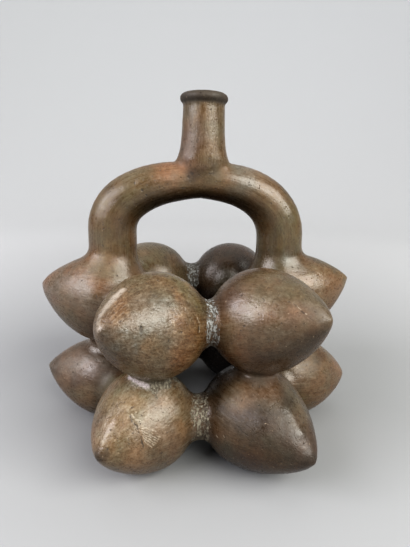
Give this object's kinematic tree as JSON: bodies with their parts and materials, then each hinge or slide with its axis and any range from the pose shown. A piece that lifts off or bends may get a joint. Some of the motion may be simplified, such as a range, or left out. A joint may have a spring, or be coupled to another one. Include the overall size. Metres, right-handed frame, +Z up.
{
  "type": "effigy vase",
  "caption": "Stirrup-spout vessel of fired clay: two stacked rings of pointed fruit-like globes joined by short necks, under a looped tube handle that carries one pouring spout.",
  "frame": {"origin": "on the plane that the vessel stands on, under the middle of its extents; the spout's axis is 2 mm to the left of it", "axes": "+Z up the spout; +X to the right along the stirrup's plane as seen from the front; -Y towards the front"},
  "size_m": [0.2094, 0.1905, 0.2096],
  "materials": {
    "fired_clay": "burnished brown fired clay with a satin sheen, fire clouds, grey-brown and reddish patches, pale earth crust in the joints, fine scratches and pits"
  },
  "bodies": {
    "root": {"stirrup_vessel": "fired_clay"}
  },
  "joints": []
}
